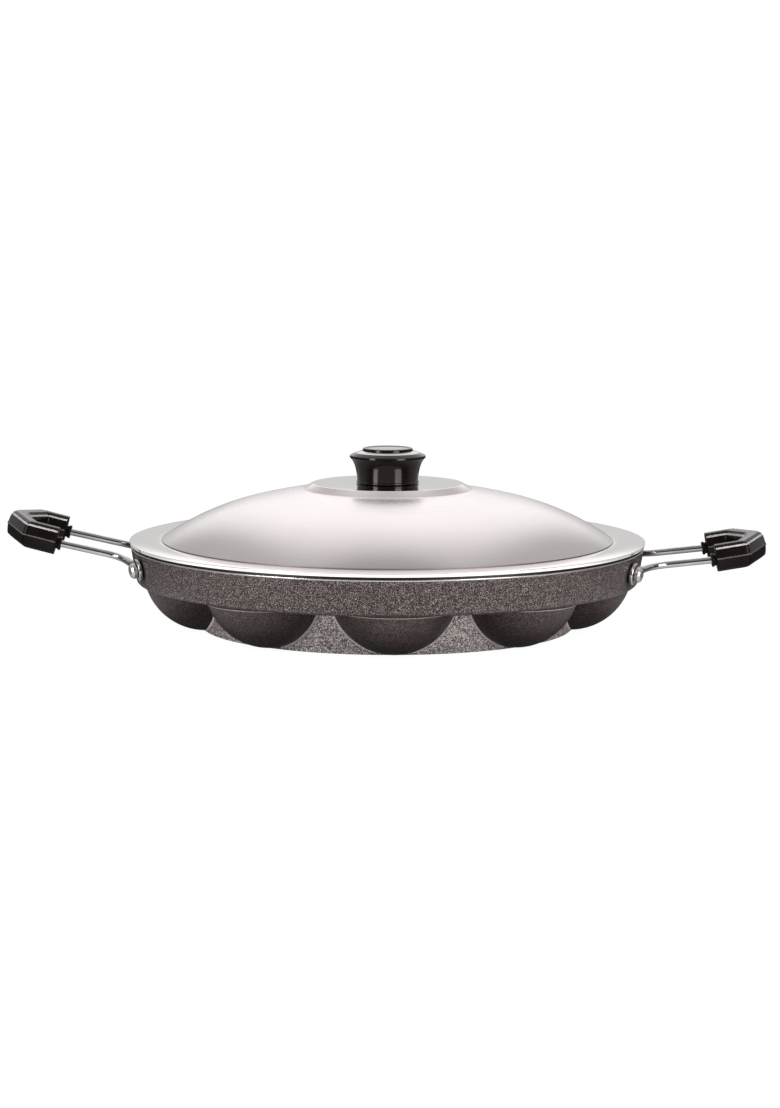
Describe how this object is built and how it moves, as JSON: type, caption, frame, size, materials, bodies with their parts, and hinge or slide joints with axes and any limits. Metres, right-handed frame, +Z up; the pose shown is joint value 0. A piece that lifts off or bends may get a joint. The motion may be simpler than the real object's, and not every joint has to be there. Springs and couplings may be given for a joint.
{
  "type": "paniyaram pan",
  "caption": "Round cast pan with hemispherical cavities on a base ring, a domed polished lid with a flared black knob, and two riveted wire handles with black horseshoe grips.",
  "frame": {"origin": "on the pan's axis in the plane of its base ring, where it stands", "axes": "+Z up out of the pan, +X towards the right-hand handle of the picture, -Y towards the camera"},
  "size_m": [0.339, 0.23, 0.0797],
  "materials": {
    "pan_coating": "cast aluminium under a dark grey-brown sparkle non-stick coating, semi-gloss",
    "lid_steel": "polished stainless steel with faint turned brush lines",
    "black_moulding": "black phenolic moulding, glossy with slight waviness",
    "cap_metal": "plain satin grey disc with a dark edge",
    "insert_brass": "turned brass",
    "screw_steel": "zinc-plated steel",
    "wire_steel": "bright drawn stainless wire",
    "rivet_metal": "bright pressed aluminium"
  },
  "bodies": {
    "pan": {"pan_body": "pan_coating", "handle_wire_left": "wire_steel", "handle_wire_right": "wire_steel", "handle_grip_left": "black_moulding", "handle_grip_right": "black_moulding", "rivet_left_front": "rivet_metal", "rivet_left_rear": "rivet_metal", "rivet_right_front": "rivet_metal", "rivet_right_rear": "rivet_metal"},
    "lid": {"lid_shell": "lid_steel", "lid_knob": "black_moulding", "knob_cap": "cap_metal", "knob_insert": "insert_brass", "knob_screw": "screw_steel", "knob_washer": "screw_steel"}
  },
  "joints": [
    {"name": "lid_lift", "type": "slide", "parent": "pan", "child": "lid", "axis": [0, 0, 1], "range_m": [0, 0.12]}
  ]
}
